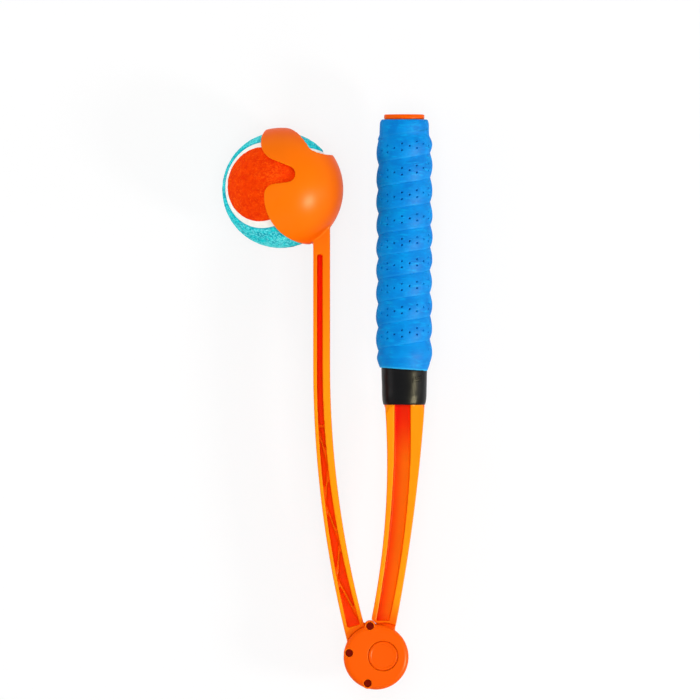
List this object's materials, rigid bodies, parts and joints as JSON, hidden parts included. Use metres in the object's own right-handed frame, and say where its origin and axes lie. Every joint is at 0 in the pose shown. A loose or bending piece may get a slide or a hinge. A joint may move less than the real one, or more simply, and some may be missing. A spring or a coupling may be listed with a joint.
{
  "type": "foldable dog ball launcher",
  "caption": "Foldable throwing stick for dog balls: a claw cup that holds a felt ball, on a curved arm that folds on a push-button hinge beside a taped handle.",
  "frame": {"origin": "on the fold axis, at the flat back face of the hinge", "axes": "+Z along the fold axis, out of the face with the button; +Y from the hinge along the folded arms to the grip and the cup; +X across, from the cup towards the grip"},
  "size_m": [0.1178, 0.3219, 0.0692],
  "materials": {
    "orange_plastic": "smooth satin moulding",
    "button_plastic": "smooth satin moulding",
    "blue_tape": "soft matte perforated cushion tape",
    "black_tape": "glossy vinyl tape",
    "screw_steel": "zinc plated",
    "acetal": "matte",
    "core_rubber": "matte",
    "red_felt": "napped felt",
    "teal_felt": "napped felt",
    "seam_rubber": "matte"
  },
  "bodies": {
    "handle": {"handle_arm": "orange_plastic", "end_cap": "orange_plastic", "grip_tape": "blue_tape", "finishing_tape": "black_tape"},
    "thrower": {"throw_arm": "orange_plastic", "ball_cup": "orange_plastic", "hinge_cover": "orange_plastic", "cover_screw_top": "screw_steel", "cover_screw_left": "screw_steel", "cover_screw_bottom": "screw_steel", "lock_spring": "screw_steel"},
    "button": {"release_button": "button_plastic", "lock_gear": "acetal"},
    "ball": {"ball_core": "core_rubber", "felt_panel_orange": "red_felt", "felt_panel_teal": "teal_felt", "ball_seam": "seam_rubber"}
  },
  "joints": [
    {"name": "fold", "type": "hinge", "parent": "handle", "child": "thrower", "pos_m": [0, 0, 0.013], "axis": [0, 0, 1], "range_deg": [0, 150]},
    {"name": "button_press", "type": "slide", "parent": "thrower", "child": "button", "axis": [0, 0, 1], "range_m": [-0.002, 0], "stiffness_N_per_m": 800, "springref_m": 0.004, "deforming": ["lock_spring"]},
    {"name": "ball_release", "type": "slide", "parent": "thrower", "child": "ball", "axis": [-0.9397, -0.342, 0], "range_m": [0, 0.075]}
  ]
}
